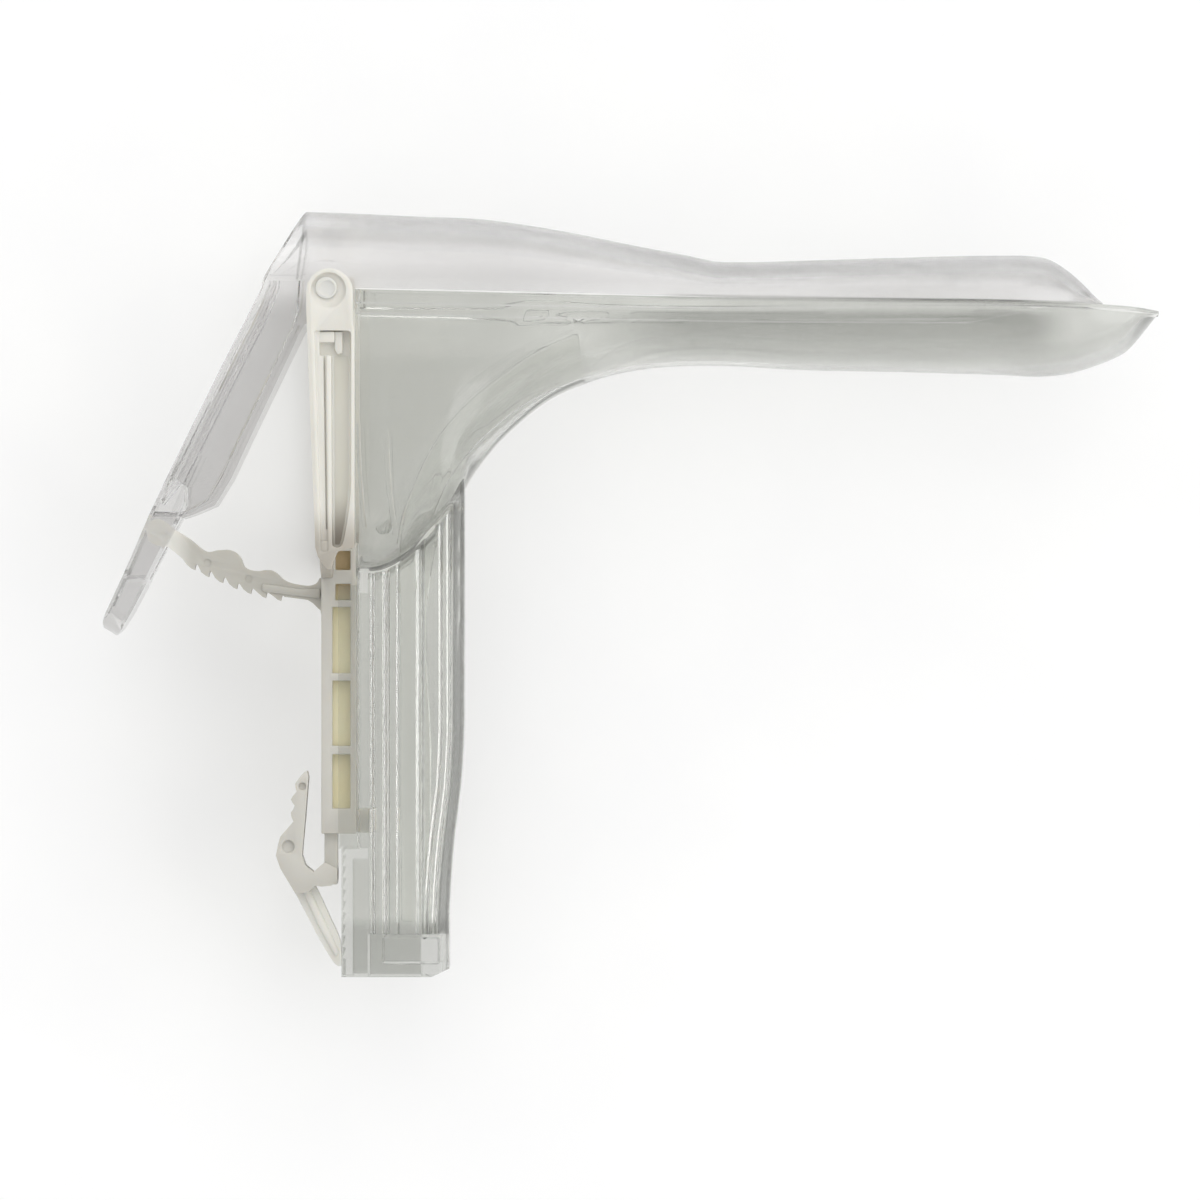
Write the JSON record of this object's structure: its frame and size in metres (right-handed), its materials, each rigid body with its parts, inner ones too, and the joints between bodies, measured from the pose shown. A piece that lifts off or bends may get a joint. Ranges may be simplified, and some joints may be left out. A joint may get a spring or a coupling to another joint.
{
  "type": "bivalve speculum",
  "caption": "Clear moulded bivalve speculum with a hollow light handle, a white slide yoke, a thumb lever with a ratchet arm and a spring latch.",
  "frame": {"origin": "middle of the handle's end face, in the mouth of the light socket", "axes": "+X towards the blade tips, +Y from the handle's end up to the blades, +Z across the width; the object lies on its side"},
  "size_m": [0.174, 0.1258, 0.042],
  "materials": {
    "clear_lower": "clear, polished",
    "clear_guide": "clear, polished",
    "clear_upper": "clear, lightly frosted",
    "white_yoke": "satin, slightly translucent"
  },
  "bodies": {
    "lower_half": {"lower_blade": "clear_lower", "handle_shell": "clear_lower", "light_guide": "clear_guide", "base_collar": "clear_lower", "detent_rack": "clear_lower"},
    "yoke": {"yoke_arm_right": "white_yoke", "yoke_arm_left": "white_yoke", "yoke_bridge": "white_yoke", "slide_strip": "white_yoke", "slide_tongue": "white_yoke", "ratchet_lug": "white_yoke"},
    "upper_half": {"upper_blade": "clear_upper", "lever_rail_right": "clear_upper", "lever_rail_left": "clear_upper", "thumb_tab": "clear_upper", "hinge_pin_right": "clear_upper", "hinge_pin_left": "clear_upper"},
    "ratchet": {"ratchet_arm": "white_yoke"},
    "latch": {"latch_lever": "white_yoke", "latch_foot": "white_yoke"}
  },
  "joints": [
    {"name": "yoke_slide", "type": "slide", "parent": "lower_half", "child": "yoke", "axis": [0, 1, 0], "range_m": [0, 0.019]},
    {"name": "blade_hinge", "type": "hinge", "parent": "yoke", "child": "upper_half", "pos_m": [-0.0111, 0.1129, 0], "axis": [0, 0, 1], "range_deg": [0, 22]},
    {"name": "ratchet_turn", "type": "hinge", "parent": "yoke", "child": "ratchet", "pos_m": [-0.0139, 0.0632, 0], "axis": [0, 0, 1], "range_deg": [0, 7.7]},
    {"name": "latch_turn", "type": "hinge", "parent": "yoke", "child": "latch", "pos_m": [-0.0129, 0.0165, 0], "axis": [0, 0, -1], "range_deg": [0, 7], "stiffness_Nm_per_rad": 0.05}
  ],
  "couplings": [
    {"joint": "ratchet_turn", "follows": "blade_hinge", "ratio": 0.35}
  ]
}
